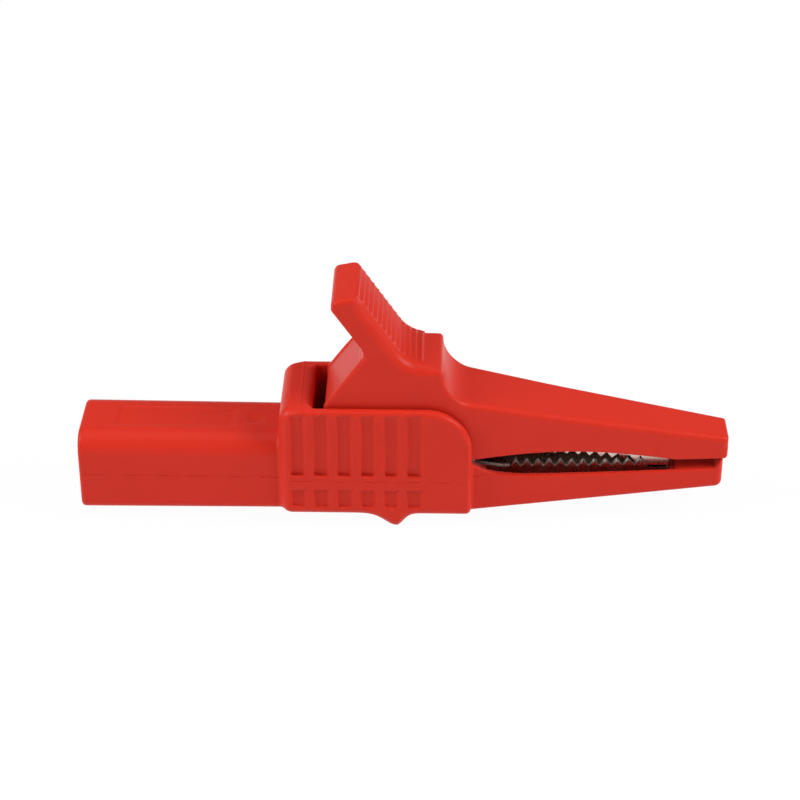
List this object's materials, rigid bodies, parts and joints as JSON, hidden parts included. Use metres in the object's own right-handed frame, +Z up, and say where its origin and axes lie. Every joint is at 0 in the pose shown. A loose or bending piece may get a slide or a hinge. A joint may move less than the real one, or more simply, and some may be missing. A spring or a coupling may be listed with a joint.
{
  "type": "insulated crocodile clip",
  "caption": "Insulated crocodile test clip: moulded grip with a shrouded socket for a round test plug, a sprung thumb lever and toothed metal jaws inside tapered covers.",
  "frame": {"origin": "centre of the metal contact's mouth, on the axis of the barrel", "axes": "+X from the socket towards the jaw tips, along the barrel's axis; +Z up, towards the thumb lever; +Y across the grip, along the pivot pin"},
  "size_m": [0.0926, 0.015, 0.0366],
  "materials": {
    "housing_plastic": "red moulded polyamide, satin to semi-gloss",
    "lever_plastic": "red moulded polyamide, satin to semi-gloss",
    "sleeve_plastic": "red moulded polyamide",
    "bush_plastic": "uncoloured polyamide",
    "jaw_metal": "stamped sheet steel, nickel plated",
    "pin_steel": "bright drawn steel",
    "spring_steel": "zinc plated spring wire",
    "contact_metal": "turned brass, nickel plated"
  },
  "bodies": {
    "grip": {"housing": "housing_plastic", "lower_jaw": "jaw_metal", "pivot_pin": "pin_steel", "spring_bush": "bush_plastic", "torsion_spring": "spring_steel", "socket_contact": "contact_metal", "socket_sleeve": "sleeve_plastic", "contact_rivet": "pin_steel"},
    "lever_arm": {"lever": "lever_plastic", "upper_jaw": "jaw_metal"}
  },
  "joints": [
    {"name": "lever_pivot", "type": "hinge", "parent": "grip", "child": "lever_arm", "pos_m": [0.0475, 0, 0.0048], "axis": [0, -1, 0], "range_deg": [0, 33], "stiffness_Nm_per_rad": 0.35, "springref_deg": -51.57, "deforming": ["torsion_spring"]}
  ]
}
